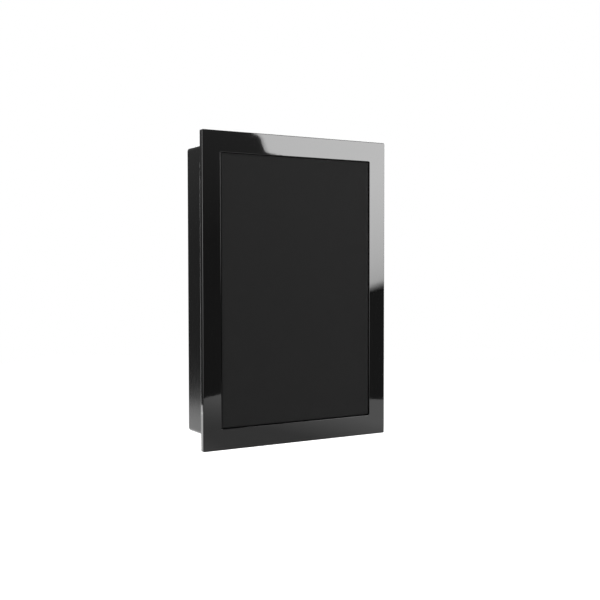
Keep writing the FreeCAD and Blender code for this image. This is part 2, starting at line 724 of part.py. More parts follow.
def cone_unit(name, count, first, z):
    # Basket with a flush flange, an inner land for the surround, a spider seat and open windows
    outer_wall = f"{name}_throat_r + {name}_wall_t"
    ring_end = f"{name}_ring_u + {name}_ring_t"
    basket = turned(f"{name}_basket", [
        (f"{name}_flange_r", "0"), (f"{name}_flange_r", f"{name}_flange_t"),
        (outer_wall, f"{name}_flange_t"), (outer_wall, f"{name}_wall_u"),
        (f"{name}_ring_r", f"{name}_ring_u"), (f"{name}_ring_r", ring_end),
        (f"{name}_ring_in", ring_end), (f"{name}_ring_in", f"{name}_ring_u"),
        (f"{name}_seat_in", f"{name}_ring_u"), (f"{name}_seat_in", f"{name}_seat_u"),
        (f"{name}_seat_r", f"{name}_seat_u"), (f"{name}_seat_r", f"{name}_seat_u - spider_seat_lip"),
        (f"{name}_throat_r", f"{name}_slope_u"), (f"{name}_throat_r", f"{name}_skin_t"),
        (f"{name}_land_r", f"{name}_skin_t"), (f"{name}_land_r", "0"),
    ], z)
    half = math.radians(value(f"{name}_window_turn") / 2)
    turn = math.radians(first + 180 / count)
    cos0, sin0 = math.cos(turn - half), math.sin(turn - half)
    cos1, sin1 = math.cos(turn + half), math.sin(turn + half)
    window = cut(basket, f"-{name}_ring_u", f"-{name}_flange_t - window_gap", [[
        (f"{name}_window_in * {cos0:.6f}", f"{name}_window_in * {sin0:.6f}"),
        (f"{name}_window_out * {cos0:.6f}", f"{name}_window_out * {sin0:.6f}", f"-{name}_window_out"),
        (f"{name}_window_out * {cos1:.6f}", f"{name}_window_out * {sin1:.6f}"),
        (f"{name}_window_in * {cos1:.6f}", f"{name}_window_in * {sin1:.6f}", f"{name}_window_in"),
    ]])
    repeat_round(basket, window, count)
    spots = ring_of(count, f"{name}_screw_ring", first)
    drill_flange(basket, name, spots)
    screw_set(name, spots, z)
    flange_gasket(name, spots, z)

    # Surround: a half roll that hangs to the rear, from the flange's land to the cone's rim
    skin = f"{name}_skin_t"
    lip_u = f"{name}_rim_u - {skin}"
    roll_out = f"{name}_throat_r - roll_gap"
    turned(f"{name}_surround", [
        (f"{name}_land_r - glue_gap", "0"), (roll_out, "0", f"-{name}_roll_r"),
        (f"{name}_roll_in", lip_u), (f"{name}_rim_r - {name}_rim_w", lip_u),
        (f"{name}_rim_r - {name}_rim_w", f"{name}_rim_u"),
        (f"{name}_roll_in", f"{name}_rim_u", f"{name}_roll_r"),
        (roll_out, skin), (f"{name}_land_r - glue_gap", skin),
    ], z)

    # Cone with a flat rim, and a dust cap over its neck
    neck = f"{name}_pole_r + {name}_pole_gap + {name}_former_t + glue_gap"
    shoulder = f"{name}_rim_r - {name}_rim_w"
    thick = f"{name}_cone_t"
    turned(f"{name}_cone", [
        (f"{name}_rim_r", f"{name}_rim_u"), (shoulder, f"{name}_rim_u"),
        (neck, f"{name}_neck_u"), (neck, f"{name}_neck_u + {thick}"),
        (shoulder, f"{name}_rim_u + {thick}"), (f"{name}_rim_r", f"{name}_rim_u + {thick}"),
    ], z)
    slope = f"({name}_neck_u - {name}_rim_u) / ({shoulder} - ({neck}))"
    base = f"{name}_rim_u + ({shoulder} - {name}_cap_r) * {slope} - {name}_cap_t - glue_gap"
    curve = f"{name}_cap_curve"
    turned(f"{name}_dust_cap", [
        ("0", f"{base} - {name}_cap_h", f"-{curve}"), (f"{name}_cap_r", base),
        (f"{name}_cap_r", f"{base} + {name}_cap_t", curve), ("0", f"{base} - {name}_cap_h + {name}_cap_t"),
    ], z)

    # Spider: corrugated disc from its seat in the basket to the coil's former
    lip = f"({name}_seat_u - {name}_spider_t)"
    waves = 6
    crest = []
    for k in range(waves + 1):
        share = k / waves
        radius = f"{name}_wave_out + ({name}_wave_in - {name}_wave_out) * {share:.6f}"
        crest.append((radius, f"{lip} - {name}_cup * {share:.6f}"))
    upper = [(x, u, f"{'-' if k % 2 else ''}{name}_wave_r") for k, (x, u) in enumerate(crest[:-1])]
    lower = [
        (x, f"{u} + {name}_spider_t", f"{'' if k % 2 else '-'}{name}_wave_r")
        for k, (x, u) in enumerate(crest[1:])
    ]
    rear_edge = f"{lip} - {name}_cup"
    rim = f"{name}_seat_r - spider_fit"
    turned(f"{name}_spider", [
        (rim, lip), *upper,
        crest[-1], (neck, rear_edge), (neck, f"{rear_edge} + {name}_spider_t"),
        *reversed(lower),
        (crest[0][0], f"{name}_seat_u"), (rim, f"{name}_seat_u"),
    ], z)

    voice_coil(name, f"{name}_neck_u", f"{ring_end} + {name}_plate_t / 2", z)
    motor(name, ring_end, f"{name}_plate_r", f"{ring_end} + cone_pole_sink", z)


# Bass and midrange units
for name in ("bass", "mid"):
    cone_unit(name, units[name]["count"], units[name]["first"], units[name]["z"])

# Closed chamber behind the midrange unit
chamber_out = "chamber_r + chamber_t"
chamber_end = "baffle_t + chamber_len"
chamber = turned("mid_chamber", [
    ("chamber_r", "baffle_t"), ("chamber_lip_r", "baffle_t"), ("chamber_lip_r", "baffle_t + chamber_lip_t"),
    (chamber_out, "baffle_t + chamber_lip_t"),
    (chamber_out, f"{chamber_end} - chamber_edge_r", "-chamber_edge_r"),
    (f"{chamber_out} - chamber_edge_r", chamber_end), ("0", chamber_end),
    ("0", f"{chamber_end} - chamber_t"), ("chamber_r", f"{chamber_end} - chamber_t"),
], "mid_z")
cut(chamber, f"-({chamber_out})", "0", [("mid_lead_u", "0", "lead_r + glue_gap")], role="YZ_Plane")

# Tweeter: faceplate with a shallow horn, metal dome on a half roll, ring magnet motor
spots = ring_of(3, "tweeter_screw_ring", 90)
plate_u = "tweeter_flange_t + tweeter_skin_t"
faceplate = turned("tweeter_faceplate", [
    ("tweeter_flange_r", "0"), ("tweeter_flange_r", "tweeter_flange_t"),
    ("tweeter_throat_r", "tweeter_flange_t"), ("tweeter_throat_r", "tweeter_throat_u"),
    ("tweeter_horn_r", "0"),
], "tweeter_z")
drill_flange(faceplate, "tweeter", spots)
screw_set("tweeter", spots, "tweeter_z")
flange_gasket("tweeter", spots, "tweeter_z")
former_out = "tweeter_pole_r + tweeter_pole_gap + tweeter_former_t"
turned("tweeter_surround", [
    ("tweeter_lip_r", "tweeter_flange_t"), ("tweeter_roll_out", "tweeter_flange_t", "tweeter_roll_r"),
    ("tweeter_roll_in", "tweeter_flange_t"), (f"{former_out} + head_sink", "tweeter_flange_t"),
    (f"{former_out} + head_sink", plate_u), ("tweeter_roll_in", plate_u, "-tweeter_roll_r"),
    ("tweeter_roll_out", plate_u), ("tweeter_lip_r", plate_u),
], "tweeter_z")
rim_u = "tweeter_flange_t - tweeter_rim_t"
dome_curve = "tweeter_dome_curve"
turned("tweeter_dome", [
    ("0", f"{rim_u} - tweeter_dome_h", f"-{dome_curve}"), ("tweeter_dome_r", rim_u),
    ("tweeter_rim_r", rim_u), ("tweeter_rim_r", "tweeter_flange_t"),
    ("tweeter_dome_r", "tweeter_flange_t", dome_curve), ("0", "tweeter_flange_t - tweeter_dome_h"),
], "tweeter_z")
voice_coil("tweeter", "tweeter_flange_t", f"{plate_u} + tweeter_plate_t / 2", "tweeter_z")
motor("tweeter", plate_u, "tweeter_plate_r", f"{plate_u} + dome_pole_sink", "tweeter_z")
tweeter_end = f"{plate_u} + tweeter_plate_t + tweeter_magnet_t + tweeter_yoke_t"

# Crossover: card on snap supports, air-cored inductors, film capacitors, cement resistors
card_back = "(rear_t + standoff_h)"
card_face = "(rear_t + standoff_h + card_t)"
card = piece("crossover_board")
slab(card, card_back, card_face, [centred(card_w, "card_h", "card_corner_r", card_x, "card_z")])
cut(card, card_back, card_face, circles(card_corners, "snap_r + hole_gap"))
snaps = piece("board_standoffs")
slab(snaps, "rear_t", card_back, circles(card_corners, "standoff_r"))
slab(snaps, card_back, card_face, circles(card_corners, "snap_r"))
slab(snaps, card_face, f"{card_face} + snap_head_t", circles(card_corners, "snap_head_r"))
coil_rows = [f"card_z + {k} * coil_pitch" for k in (-1, 0, 1)]
slab(piece("inductors"), card_face, f"{card_face} + coil_h", [
    (coil_x, z, radius) for z in coil_rows for radius in ("coil_r", "coil_bore_r")
])
block_rows = [f"card_z + {k} * coil_pitch" for k in (-0.5, 0.5)]
slab(piece("resistors"), card_face, f"{card_face} + block_t", [
    centred("block_w", "block_h", "glue_gap", coil_x, z) for z in block_rows
])
cans = []
for k in (-1, 0, 1):
    can = doc.addObject("Part::Cylinder", "capacitor")
    can.setExpression("Radius", cells("can_r"))
    can.setExpression("Height", cells("can_len"))
    can.setExpression("Placement.Base.x", cells(can_x))
    can.setExpression("Placement.Base.y", cells(f"-({card_face} + can_r)"))
    can.setExpression("Placement.Base.z", cells(f"card_z + {k} * can_pitch - can_len / 2"))
    cans.append(can)
capacitors = doc.addObject("Part::Compound", "capacitors")
capacitors.Links = cans

# Terminals: recessed cup, two turned posts with 4 mm sockets, knurled caps, nuts inside
cup_floor = "(cup_depth - cup_wall)"
post_places = [(f"{cup_x} - post_dx", "cup_z"), (f"{cup_x} + post_dx", "cup_z")]
cup = piece("terminal_cup")
slab(cup, "0", "lip_t", [centred(*lip_outline, "lip_corner_r", cup_x, "cup_z")])
slab(cup, "lip_t", "cup_depth", [centred("cup_w", "cup_h", "cup_corner_r", cup_x, "cup_z")])
cut(cup, "0", cup_floor, [
    centred("cup_w - 2 * cup_wall", "cup_h - 2 * cup_wall", "cup_corner_r - cup_wall", cup_x, "cup_z"),
])
cut(cup, cup_floor, "cup_depth", circles(post_places, "post_r + hole_gap"))
cut(cup, "0", "lip_t", circles(cup_corners, "cup_screw_r + hole_gap"))
cut(cup, "0", "cup_head_t", circles(cup_corners, "cup_head_r + hole_gap"))

posts = piece("terminal_posts")
slab(posts, "post_end", "post_tail", circles(post_places, "post_r"))
slab(posts, f"{cup_floor} - post_collar_t", cup_floor, circles(post_places, "post_collar_r"))
cut(posts, "post_end", "post_end + socket_len", circles(post_places, "socket_r"))

for label, (x, z) in zip(("terminal_cap_red", "terminal_cap_black"), post_places):
    knob = piece(label, x, "0", z)
    slab(knob, "knob_end", "knob_end + knob_len", [("0", "0", "knob_r"), ("0", "0", "post_r + knob_gap")])
    groove = cut(knob, "knob_end", "knob_end + knob_len", [("knob_r", "0", "knurl_r")])
    repeat_round(knob, groove, 16)

nuts = piece("terminal_nuts")
slab(nuts, "cup_depth", "cup_depth + nut_t", [hexagon(x, z, "nut_r") for x, z in post_places])
cut(nuts, "cup_depth", "cup_depth + nut_t", circles(post_places, "post_r + glue_gap"))

cup_screws = piece("terminal_screws")
slab(cup_screws, "0", "cup_head_t", circles(cup_corners, "cup_head_r"))
slab(cup_screws, "cup_head_t", cup_tip, circles(cup_corners, "cup_screw_r"))

# Wall fixing: a bracket screwed to the wall and a hanger plate that hooks over its raised lip
bracket = piece("wall_bracket")
jog_end = "bracket_jog + bracket_offset"
lip_front = "-(bracket_offset + steel_t)"
slab(bracket, "(bracket_short - hanger_w) / 2", "(hanger_w - bracket_short) / 2", [[
    ("0", "bracket_low"), ("0", "bracket_jog"),
    ("-bracket_offset", jog_end), ("-bracket_offset", "bracket_top"),
    (lip_front, "bracket_top"), (lip_front, jog_end),
    ("-steel_t", "bracket_jog"), ("-steel_t", "bracket_low"),
]], role="YZ_Plane")
bracket_holes = [
    (f"{sx} * bracket_hole_x", f"bracket_hole_z + {sz} * bracket_hole_dz")
    for sx in (-1, 1) for sz in (-1, 1)
]
cut(bracket, "0", "steel_t", circles(bracket_holes, "bracket_hole_r"))

hanger = piece("hanger_plate")
rise = "(recess_depth - steel_t - hanger_clear)"
slab(hanger, "-hanger_w / 2", "hanger_w / 2", [[
    ("-hanger_clear", "hanger_low"), ("-hanger_clear", "hanger_jog"),
    ("-(recess_depth - steel_t)", f"hanger_jog + {rise}"), ("-(recess_depth - steel_t)", "hanger_high"),
    ("-recess_depth", "hanger_high"), ("-recess_depth", f"hanger_jog + {rise}"),
    ("-(hanger_clear + steel_t)", "hanger_jog"), ("-(hanger_clear + steel_t)", "hanger_low"),
]], role="YZ_Plane")
cut(hanger, "recess_depth - steel_t", "recess_depth", circles(hanger_places, "hanger_screw_r + hole_gap"))

hanger_screws = piece("hanger_screws")
head_base = "(recess_depth - steel_t)"
slab(hanger_screws, f"{head_base} - hanger_head_t", head_base, circles(hanger_places, "hanger_head_r"))
slab(hanger_screws, head_base, hanger_tip, circles(hanger_places, "hanger_screw_r"))

# Internal leads: insulated wires run with rounded bends from the card to the posts and drive units
def lead_solid(points):
    spots = [FreeCAD.Vector(value(x), -value(depth), value(z)) for x, depth, z in points]
    bend = value("lead_bend")
    edges = []
    last = spots[0]
    for before, corner, after in zip(spots, spots[1:], spots[2:]):
        way_in = (corner - before).normalize()
        way_out = (after - corner).normalize()
        start = corner - way_in * bend
        end = corner + way_out * bend
        hub = corner + (way_out - way_in) * bend
        edges.append(Part.makeLine(last, start))
        edges.append(Part.Arc(start, hub + (corner - hub).normalize() * bend, end).toShape())
        last = end
    edges.append(Part.makeLine(last, spots[-1]))
    profile = Part.Wire([Part.makeCircle(value("lead_r"), spots[0], spots[1] - spots[0])])
    return Part.Wire(edges).makePipeShell([profile], True, False)


tweeter_lead_d = f"{baffle_face} - tweeter_lead_u"
mid_lead_d = f"{baffle_face} - mid_lead_u"
bass_lead_d = f"{baffle_face} - bass_lead_u"
lead_routes = {
    "input_leads": [
        [(x, "post_tail", "cup_z"), (x, depth, "cup_z"), (x, depth, z), (end, depth, z), (end, card_face, z)]
        for x, depth, z, end in (
            (f"{cup_x} - post_dx", "input_lead_d", "input_lead_z", "input_lead_x"),
            (f"{cup_x} + post_dx", "input_lead_d + input_lead_dd", "input_lead_z + input_lead_dz",
             "input_lead_x + input_lead_dz"),
        )
    ],
    "tweeter_leads": [[
        ("side_lead_x", card_face, "tweeter_lead_z"), ("side_lead_x", tweeter_lead_d, "tweeter_lead_z"),
        ("-tweeter_lead_in", tweeter_lead_d, "tweeter_lead_z"),
        ("-tweeter_lead_in", tweeter_lead_d, "tweeter_z"),
        ("-tweeter_lead_in", f"{baffle_face} - ({tweeter_end})", "tweeter_z"),
    ]],
    "mid_leads": [[
        ("mid_lead_x", card_face, "mid_lead_z"), ("mid_lead_x", mid_lead_d, "mid_lead_z"),
        ("mid_lead_x", mid_lead_d, "mid_z"), ("-mid_ring_r - glue_gap", mid_lead_d, "mid_z"),
    ]],
    "bass_leads": [[
        ("side_lead_x", card_face, "bass_lead_z"), ("side_lead_x", bass_lead_d, "bass_lead_z"),
        ("side_lead_x", bass_lead_d, "bass_z"), ("-bass_ring_r - glue_gap", bass_lead_d, "bass_z"),
    ]],
}
leads = []
for label, routes in lead_routes.items():
    lead = doc.addObject("Part::Feature", label)
    runs = [lead_solid(route) for route in routes]
    lead.Shape = runs[0] if len(runs) == 1 else Part.makeCompound(runs)
    lead.Placement = FreeCAD.Placement()
    leads.append(lead)

# Every feature is checked before the files are written
doc.recompute()
faults = [o.Label for o in doc.Objects if "Invalid" in o.State or "Error" in o.State]
pieces = [o for o in doc.Objects if o.isDerivedFrom("PartDesign::Body")] + [capacitors] + leads
faults += [o.Label for o in pieces if o.Shape.isNull() or not o.Shape.isValid()]
if faults:
    raise RuntimeError("not built: " + ", ".join(faults))
os.makedirs("parts", exist_ok=True)
for item in pieces:
    item.Shape.exportStep(f"parts/{item.Label}.step")
    print(item.Label, len(item.Shape.Solids), round(item.Shape.Volume / 1000, 2))
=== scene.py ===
import math

import bmesh
import bpy
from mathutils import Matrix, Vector, noise
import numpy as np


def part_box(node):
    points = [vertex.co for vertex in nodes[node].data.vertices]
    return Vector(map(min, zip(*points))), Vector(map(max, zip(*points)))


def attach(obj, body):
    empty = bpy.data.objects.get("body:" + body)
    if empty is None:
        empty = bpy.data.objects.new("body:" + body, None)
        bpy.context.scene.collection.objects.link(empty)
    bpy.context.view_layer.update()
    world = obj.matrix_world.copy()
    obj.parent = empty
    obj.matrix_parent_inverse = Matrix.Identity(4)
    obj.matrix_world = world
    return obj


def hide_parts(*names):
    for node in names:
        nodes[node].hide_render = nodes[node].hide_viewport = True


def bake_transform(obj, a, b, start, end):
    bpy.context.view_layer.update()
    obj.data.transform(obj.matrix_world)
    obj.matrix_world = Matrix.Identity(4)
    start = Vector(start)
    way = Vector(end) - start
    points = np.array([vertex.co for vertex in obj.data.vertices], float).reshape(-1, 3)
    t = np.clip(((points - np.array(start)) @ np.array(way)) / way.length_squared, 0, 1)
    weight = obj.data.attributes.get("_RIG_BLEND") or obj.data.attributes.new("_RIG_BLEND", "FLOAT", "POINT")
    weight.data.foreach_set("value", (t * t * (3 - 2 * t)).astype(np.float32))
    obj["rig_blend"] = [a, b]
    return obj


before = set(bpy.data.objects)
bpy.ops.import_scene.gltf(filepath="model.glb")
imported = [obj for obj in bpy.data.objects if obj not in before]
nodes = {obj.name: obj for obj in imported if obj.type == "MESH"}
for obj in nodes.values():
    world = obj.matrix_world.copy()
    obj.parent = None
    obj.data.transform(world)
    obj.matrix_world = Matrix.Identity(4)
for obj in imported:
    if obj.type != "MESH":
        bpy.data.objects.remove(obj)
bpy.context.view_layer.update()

print("frame loaded:", len(nodes), "nodes")


def toLinear(hexText):
    steps = [int(hexText[i:i + 2], 16) / 255 for i in (1, 3, 5)]
    return (*[s / 12.92 if s <= 0.04045 else ((s + 0.055) / 1.055) ** 2.4 for s in steps], 1)


def addNode(tree, kind, settings=None, links=None):  # settings go to inputs first, then to the node itself
    node = tree.nodes.new(kind)
    for key, setting in (settings or {}).items():
        if isinstance(key, int) or key in node.inputs:
            node.inputs[key].default_value = setting
        else:
            setattr(node, key, setting)
    for key, source in (links or {}).items():
        tree.links.new(source, node.inputs[key])
    return node


# Finishes, each named for what the real one is. grain is the size of its pattern in millimetres
finishes = {
    "polishedLacquer": {  # polyester lacquer, sprayed and buffed: a black mirror with a faint wave in it
        "made": "grain", "grain": 14, "dark": "#030303", "light": "#050505", "rough": (0.015, 0.035),
        "relief": 0.0006, "coat": 0.35, "coatRough": 0.012, "ior": 1.5,
        "nodes": ["front_frame"]},
    "satinPaint": {  # satin paint sprayed on board: soft sheen broken up by fine orange peel
        "made": "grain", "grain": 1.6, "dark": "#0a0a0a", "light": "#0e0e0e", "rough": (0.14, 0.19),
        "relief": 0.012, "coat": 0.22, "coatRough": 0.11, "ior": 1.5,
        "nodes": ["cabinet_sleeve"]},
    "mattPaint": {  # water based black sprayed on board: even and dull, with the fibres just raised
        "made": "fibre", "grain": 1.1, "dark": "#0f0f10", "light": "#161617", "rough": (0.4, 0.52),
        "relief": 0.03, "spec": 0.25, "nodes": ["baffle", "rear_panel"]},
    "pressedBoard": {  # medium density fibreboard, sawn: pale brown with short dark fibres
        "made": "fibre", "grain": 1.2, "dark": "#86684a", "light": "#b4936c", "rough": (0.75, 0.9),
        "relief": 0.05, "nodes": ["brace"]},
    "grilleWeave": {  # polyester grille cloth, plain weave of 0.8 mm threads drawn at 1.4 mm so that it shows
        "made": "weave", "grain": 1.4, "dark": "#131313", "light": "#2c2c2c", "rough": (0.8, 0.95),
        "relief": 0.25, "sheen": 0.03, "spec": 0.14, "nodes": []},
    "mouldedPlastic": {  # ABS, moulded in a spark eroded tool: even matt grain
        "made": "grain", "grain": 0.5, "dark": "#161617", "light": "#1f1f21", "rough": (0.42, 0.58),
        "relief": 0.04, "nodes": ["grille_frame", "mid_chamber", "terminal_cup"]},
    "nickelPlate": {  # nickel on neodymium: bright with a warm cast and a light tumbled haze
        "made": "grain", "grain": 0.8, "dark": "#b4b0a6", "light": "#cfccc4", "rough": (0.16, 0.3),
        "relief": 0.01, "metal": 1, "nodes": ["grille_magnets", "baffle_magnets"]},
    "castAlloy": {  # die cast aluminium under dark powder coat: pebbled, half matt
        "made": "cell", "grain": 0.9, "dark": "#1d1d1f", "light": "#29292b", "rough": (0.38, 0.52),
        "relief": 0.05, "nodes": ["bass_basket", "mid_basket", "tweeter_faceplate"]},
    "drawnAluminium": {  # thin drawn aluminium, anodised: silky with fine rings round its axis
        "made": "turned", "grain": 0.5, "dark": "#a9abad", "light": "#c6c8ca", "rough": (0.2, 0.32),
        "relief": 0.01, "metal": 1, "centre": (0, 0.1675), "nodes": ["tweeter_dome"]},
    "nitrileRubber": {  # moulded nitrile rubber: dull black with a dusty bloom
        "made": "grain", "grain": 2.5, "dark": "#121212", "light": "#1e1e1d", "rough": (0.6, 0.78),
        "relief": 0.02, "nodes": []},
    "coatedPulp": {  # pressed paper pulp with a doped face: soft black with visible fibres
        "made": "fibre", "grain": 0.9, "dark": "#141416", "light": "#29292c", "rough": (0.55, 0.75),
        "relief": 0.08, "nodes": ["bass_cone", "mid_cone", "bass_dust_cap", "mid_dust_cap"]},
    "dippedCloth": {  # woven cotton stiffened with phenolic resin: amber and slightly glossy
        "made": "weave", "grain": 0.7, "dark": "#8a5c1e", "light": "#c9963f", "rough": (0.45, 0.65),
        "relief": 0.15, "nodes": []},
    "coatedSilk": {  # silk roll with a sticky damping coat: dark amber, half glossy
        "made": "weave", "grain": 0.4, "dark": "#3a2a18", "light": "#5a4226", "rough": (0.35, 0.5),
        "relief": 0.08, "nodes": []},
    "woundCopper": {  # enamelled copper wire laid in even turns: warm metal ribs 0.9 mm apart
        "made": "band", "grain": 0.9, "dark": "#7c3a1c", "light": "#c8743c", "rough": (0.22, 0.36),
        "relief": 0.35, "metal": 1,
        "nodes": ["inductors", "bass_voice_coil", "mid_voice_coil", "tweeter_voice_coil"]},
    "zincPlate": {  # pressed steel, zinc plated: pale grey with a faint rolled streak
        "made": "streak", "grain": 0.8, "dark": "#8f9296", "light": "#b6b9bc", "rough": (0.26, 0.42),
        "relief": 0.02, "metal": 1,
        "nodes": ["wall_bracket", "hanger_plate", "hanger_screws", "bass_top_plate", "bass_yoke",
                  "mid_top_plate", "mid_yoke", "tweeter_top_plate", "tweeter_yoke"]},
    "sinteredFerrite": {  # pressed and fired ferrite: charcoal, dry, with ground specks
        "made": "cell", "grain": 0.6, "dark": "#232326", "light": "#3b3b40", "rough": (0.55, 0.75),
        "relief": 0.06, "nodes": ["bass_magnet", "mid_magnet", "tweeter_magnet"]},
    "blackOxide": {  # oiled black oxide on steel: dark metal with rubbed paler edges
        "made": "grain", "grain": 0.6, "dark": "#1a1a1b", "light": "#38383a", "rough": (0.28, 0.45),
        "relief": 0.02, "metal": 1,
        "nodes": ["bass_screws", "mid_screws", "tweeter_screws", "terminal_screws"]},
    "cellFoam": {  # closed cell foam, die cut: dark grey skin full of small cells
        "made": "cell", "grain": 0.7, "dark": "#1c1c1d", "light": "#343436", "rough": (0.8, 0.95),
        "relief": 0.2, "nodes": ["bass_gasket", "mid_gasket", "tweeter_gasket"]},
    "polyesterWadding": {  # bonded polyester fibre: white fluff, its hollows painted darker as shade
        "made": "fibre", "grain": 2.2, "dark": "#b9b9b4", "light": "#ecece6", "rough": (0.9, 1),
        "relief": 0.6, "sheen": 0.3, "nodes": []},
    "glassCard": {  # glass fibre and epoxy under green solder mask: smooth, with the weave just showing
        "made": "weave", "grain": 1.1, "dark": "#0f4a2a", "light": "#1b6a3e", "rough": (0.28, 0.36),
        "relief": 0.03, "coat": 0.5, "coatRough": 0.1, "nodes": ["crossover_board"]},
    "naturalNylon": {  # unfilled nylon, moulded: milky and waxy
        "made": "grain", "grain": 3, "dark": "#d2cdbb", "light": "#e6e2d4", "rough": (0.36, 0.48),
        "relief": 0.01, "nodes": ["board_standoffs"]},
    "tapedFilm": {  # polypropylene film rolled and wrapped in yellow tape: glossy with overlapped edges
        "made": "band", "grain": 5.5, "dark": "#b98a1c", "light": "#d8ab34", "rough": (0.2, 0.32),
        "relief": 0.04, "axis": "Z", "nodes": ["capacitors"]},
    "firedCement": {  # ceramic case filled with cement: off white, gritty
        "made": "cell", "grain": 1.1, "dark": "#b8b1a2", "light": "#d9d3c6", "rough": (0.8, 0.95),
        "relief": 0.12, "nodes": ["resistors"]},
    "giltBrass": {  # brass turned on a lathe, gilt: yellow metal with fine tool rings
        "made": "band", "grain": 0.35, "dark": "#b58a34", "light": "#e0bb60", "rough": (0.14, 0.24),
        "relief": 0.03, "metal": 1, "nodes": ["terminal_posts", "terminal_nuts"]},
    "redPolycarbonate": {  # tinted polycarbonate, moulded: deep glossy red
        "made": "grain", "grain": 4, "dark": "#8c0a0c", "light": "#a81214", "rough": (0.16, 0.26),
        "relief": 0.006, "coat": 0.5, "coatRough": 0.08, "nodes": ["terminal_cap_red"]},
    "blackPolycarbonate": {  # black polycarbonate, moulded: glossy with a light mould haze
        "made": "grain", "grain": 4, "dark": "#0d0d0e", "light": "#151516", "rough": (0.16, 0.28),
        "relief": 0.006, "coat": 0.5, "coatRough": 0.08, "nodes": ["terminal_cap_black"]},
    "softVinyl": {  # extruded vinyl sheath: smooth dull black with faint draw lines
        "made": "streak", "grain": 0.6, "dark": "#161617", "light": "#222224", "rough": (0.4, 0.55),
        "relief": 0.02, "nodes": ["input_leads", "tweeter_leads", "mid_leads", "bass_leads"]},
}

waveUnit = 0.314  # metres from rib to rib in a wave pattern at a scale of 1
clouding = {"scale": 28, "detail": 3, "tones": (0.88, 1.12)}  # soft 36 mm patches in every finish


def makeFinish(name, look):
    mat = bpy.data.materials.new(name)
    mat.use_nodes = True
    tree = mat.node_tree
    shader = tree.nodes["Principled BSDF"]
    place = addNode(tree, "ShaderNodeTexCoord").outputs["Object"]
    size = look["grain"] / 1000  # metres
    ribScale = waveUnit / size
    made = look["made"]
    if made == "weave":  # warp and weft ribs, multiplied so that their crossings stand up
        ribs = [addNode(tree, "ShaderNodeTexWave", {
            "bands_direction": axis, "Scale": ribScale, "Distortion": 0.4, "Detail": 1, "Detail Scale": 2,
        }, {"Vector": place}).outputs["Fac"] for axis in ("X", "Z")]
        pattern = addNode(tree, "ShaderNodeMath", {"operation": "MULTIPLY"}, {
            0: ribs[0], 1: ribs[1]}).outputs[0]
    elif made == "band":  # even ribs along one direction
        pattern = addNode(tree, "ShaderNodeTexWave", {
            "bands_direction": look.get("axis", "Y"), "Scale": ribScale, "Distortion": 0.3, "Detail": 1,
        }, {"Vector": place}).outputs["Fac"]
    elif made == "turned":  # rings round the piece's own axis
        x, z = look["centre"]
        moved = addNode(tree, "ShaderNodeMapping", {"Location": (-x, 0, -z)}, {
            "Vector": place}).outputs["Vector"]
        pattern = addNode(tree, "ShaderNodeTexWave", {
            "wave_type": "RINGS", "rings_direction": "Y", "Scale": ribScale, "Distortion": 0.6, "Detail": 2,
        }, {"Vector": moved}).outputs["Fac"]
    elif made == "cell":  # rounded pebbles or pores
        pattern = addNode(tree, "ShaderNodeTexVoronoi", {"Scale": 1 / size}, {
            "Vector": place}).outputs["Distance"]
    else:  # grain, fibre or streak: cloudy noise, drawn out for the last two
        stretch = {"grain": (1, 1, 1), "fibre": (1, 1, 0.3), "streak": (0.08, 1, 1)}[made]
        drawn = addNode(tree, "ShaderNodeMapping", {"Scale": stretch}, {"Vector": place}).outputs["Vector"]
        pattern = addNode(tree, "ShaderNodeTexNoise", {
            "Scale": 1 / size, "Detail": 4, "Roughness": 0.55, "Distortion": 0.2 if made == "fibre" else 0,
        }, {"Vector": drawn}).outputs["Fac"]
    clouds = addNode(tree, "ShaderNodeTexNoise", {
        "Scale": clouding["scale"], "Detail": clouding["detail"]}, {"Vector": place}).outputs["Fac"]
    tone = addNode(tree, "ShaderNodeMix", {
        "data_type": "RGBA", 6: toLinear(look["dark"]), 7: toLinear(look["light"]),
    }, {0: pattern}).outputs[2]
    shade = addNode(tree, "ShaderNodeMapRange", {
        "To Min": clouding["tones"][0], "To Max": clouding["tones"][1],
    }, {"Value": clouds}).outputs["Result"]
    colour = addNode(tree, "ShaderNodeHueSaturation", {}, {"Color": tone, "Value": shade}).outputs["Color"]
    rub = addNode(tree, "ShaderNodeMapRange", {
        "To Min": look["rough"][0], "To Max": look["rough"][1],
    }, {"Value": clouds}).outputs["Result"]
    relief = addNode(tree, "ShaderNodeBump", {
        "Strength": 1, "Distance": size * look["relief"]}, {"Height": pattern}).outputs["Normal"]
    for socket, source in (("Base Color", colour), ("Roughness", rub), ("Normal", relief)):
        tree.links.new(source, shader.inputs[socket])
    amounts = {
        "Metallic": look.get("metal", 0), "Specular IOR Level": look.get("spec", 0.5),
        "Coat Weight": look.get("coat", 0), "Coat Roughness": look.get("coatRough", 0.03),
        "Sheen Weight": look.get("sheen", 0),
    }
    if not look.get("metal"):  # a metal keeps the default
        amounts["IOR"] = look.get("ior", 1.5)
    for socket, amount in amounts.items():
        shader.inputs[socket].default_value = amount
    return mat


finishOf = {name: makeFinish(name, look) for name, look in finishes.items()}
for name, look in finishes.items():
    for node in look["nodes"]:
        nodes[node].data.materials.clear()
        nodes[node].data.materials.append(finishOf[name])
print("finishes:", len(finishOf))


def addPiece(name, mesh, finish):
    piece = bpy.data.objects.new(name, mesh)
    bpy.context.scene.collection.objects.link(piece)
    mesh.materials.clear()
    mesh.materials.append(finishOf[finish])
    return piece


def meshFrom(bm, name):  # a smooth mesh, with its faces turned outwards
    bmesh.ops.recalc_face_normals(bm, faces=bm.faces)
    mesh = bpy.data.meshes.new(name)
    bm.to_mesh(mesh)
    bm.free()
    for polygon in mesh.polygons:
        polygon.use_smooth = True
    return mesh


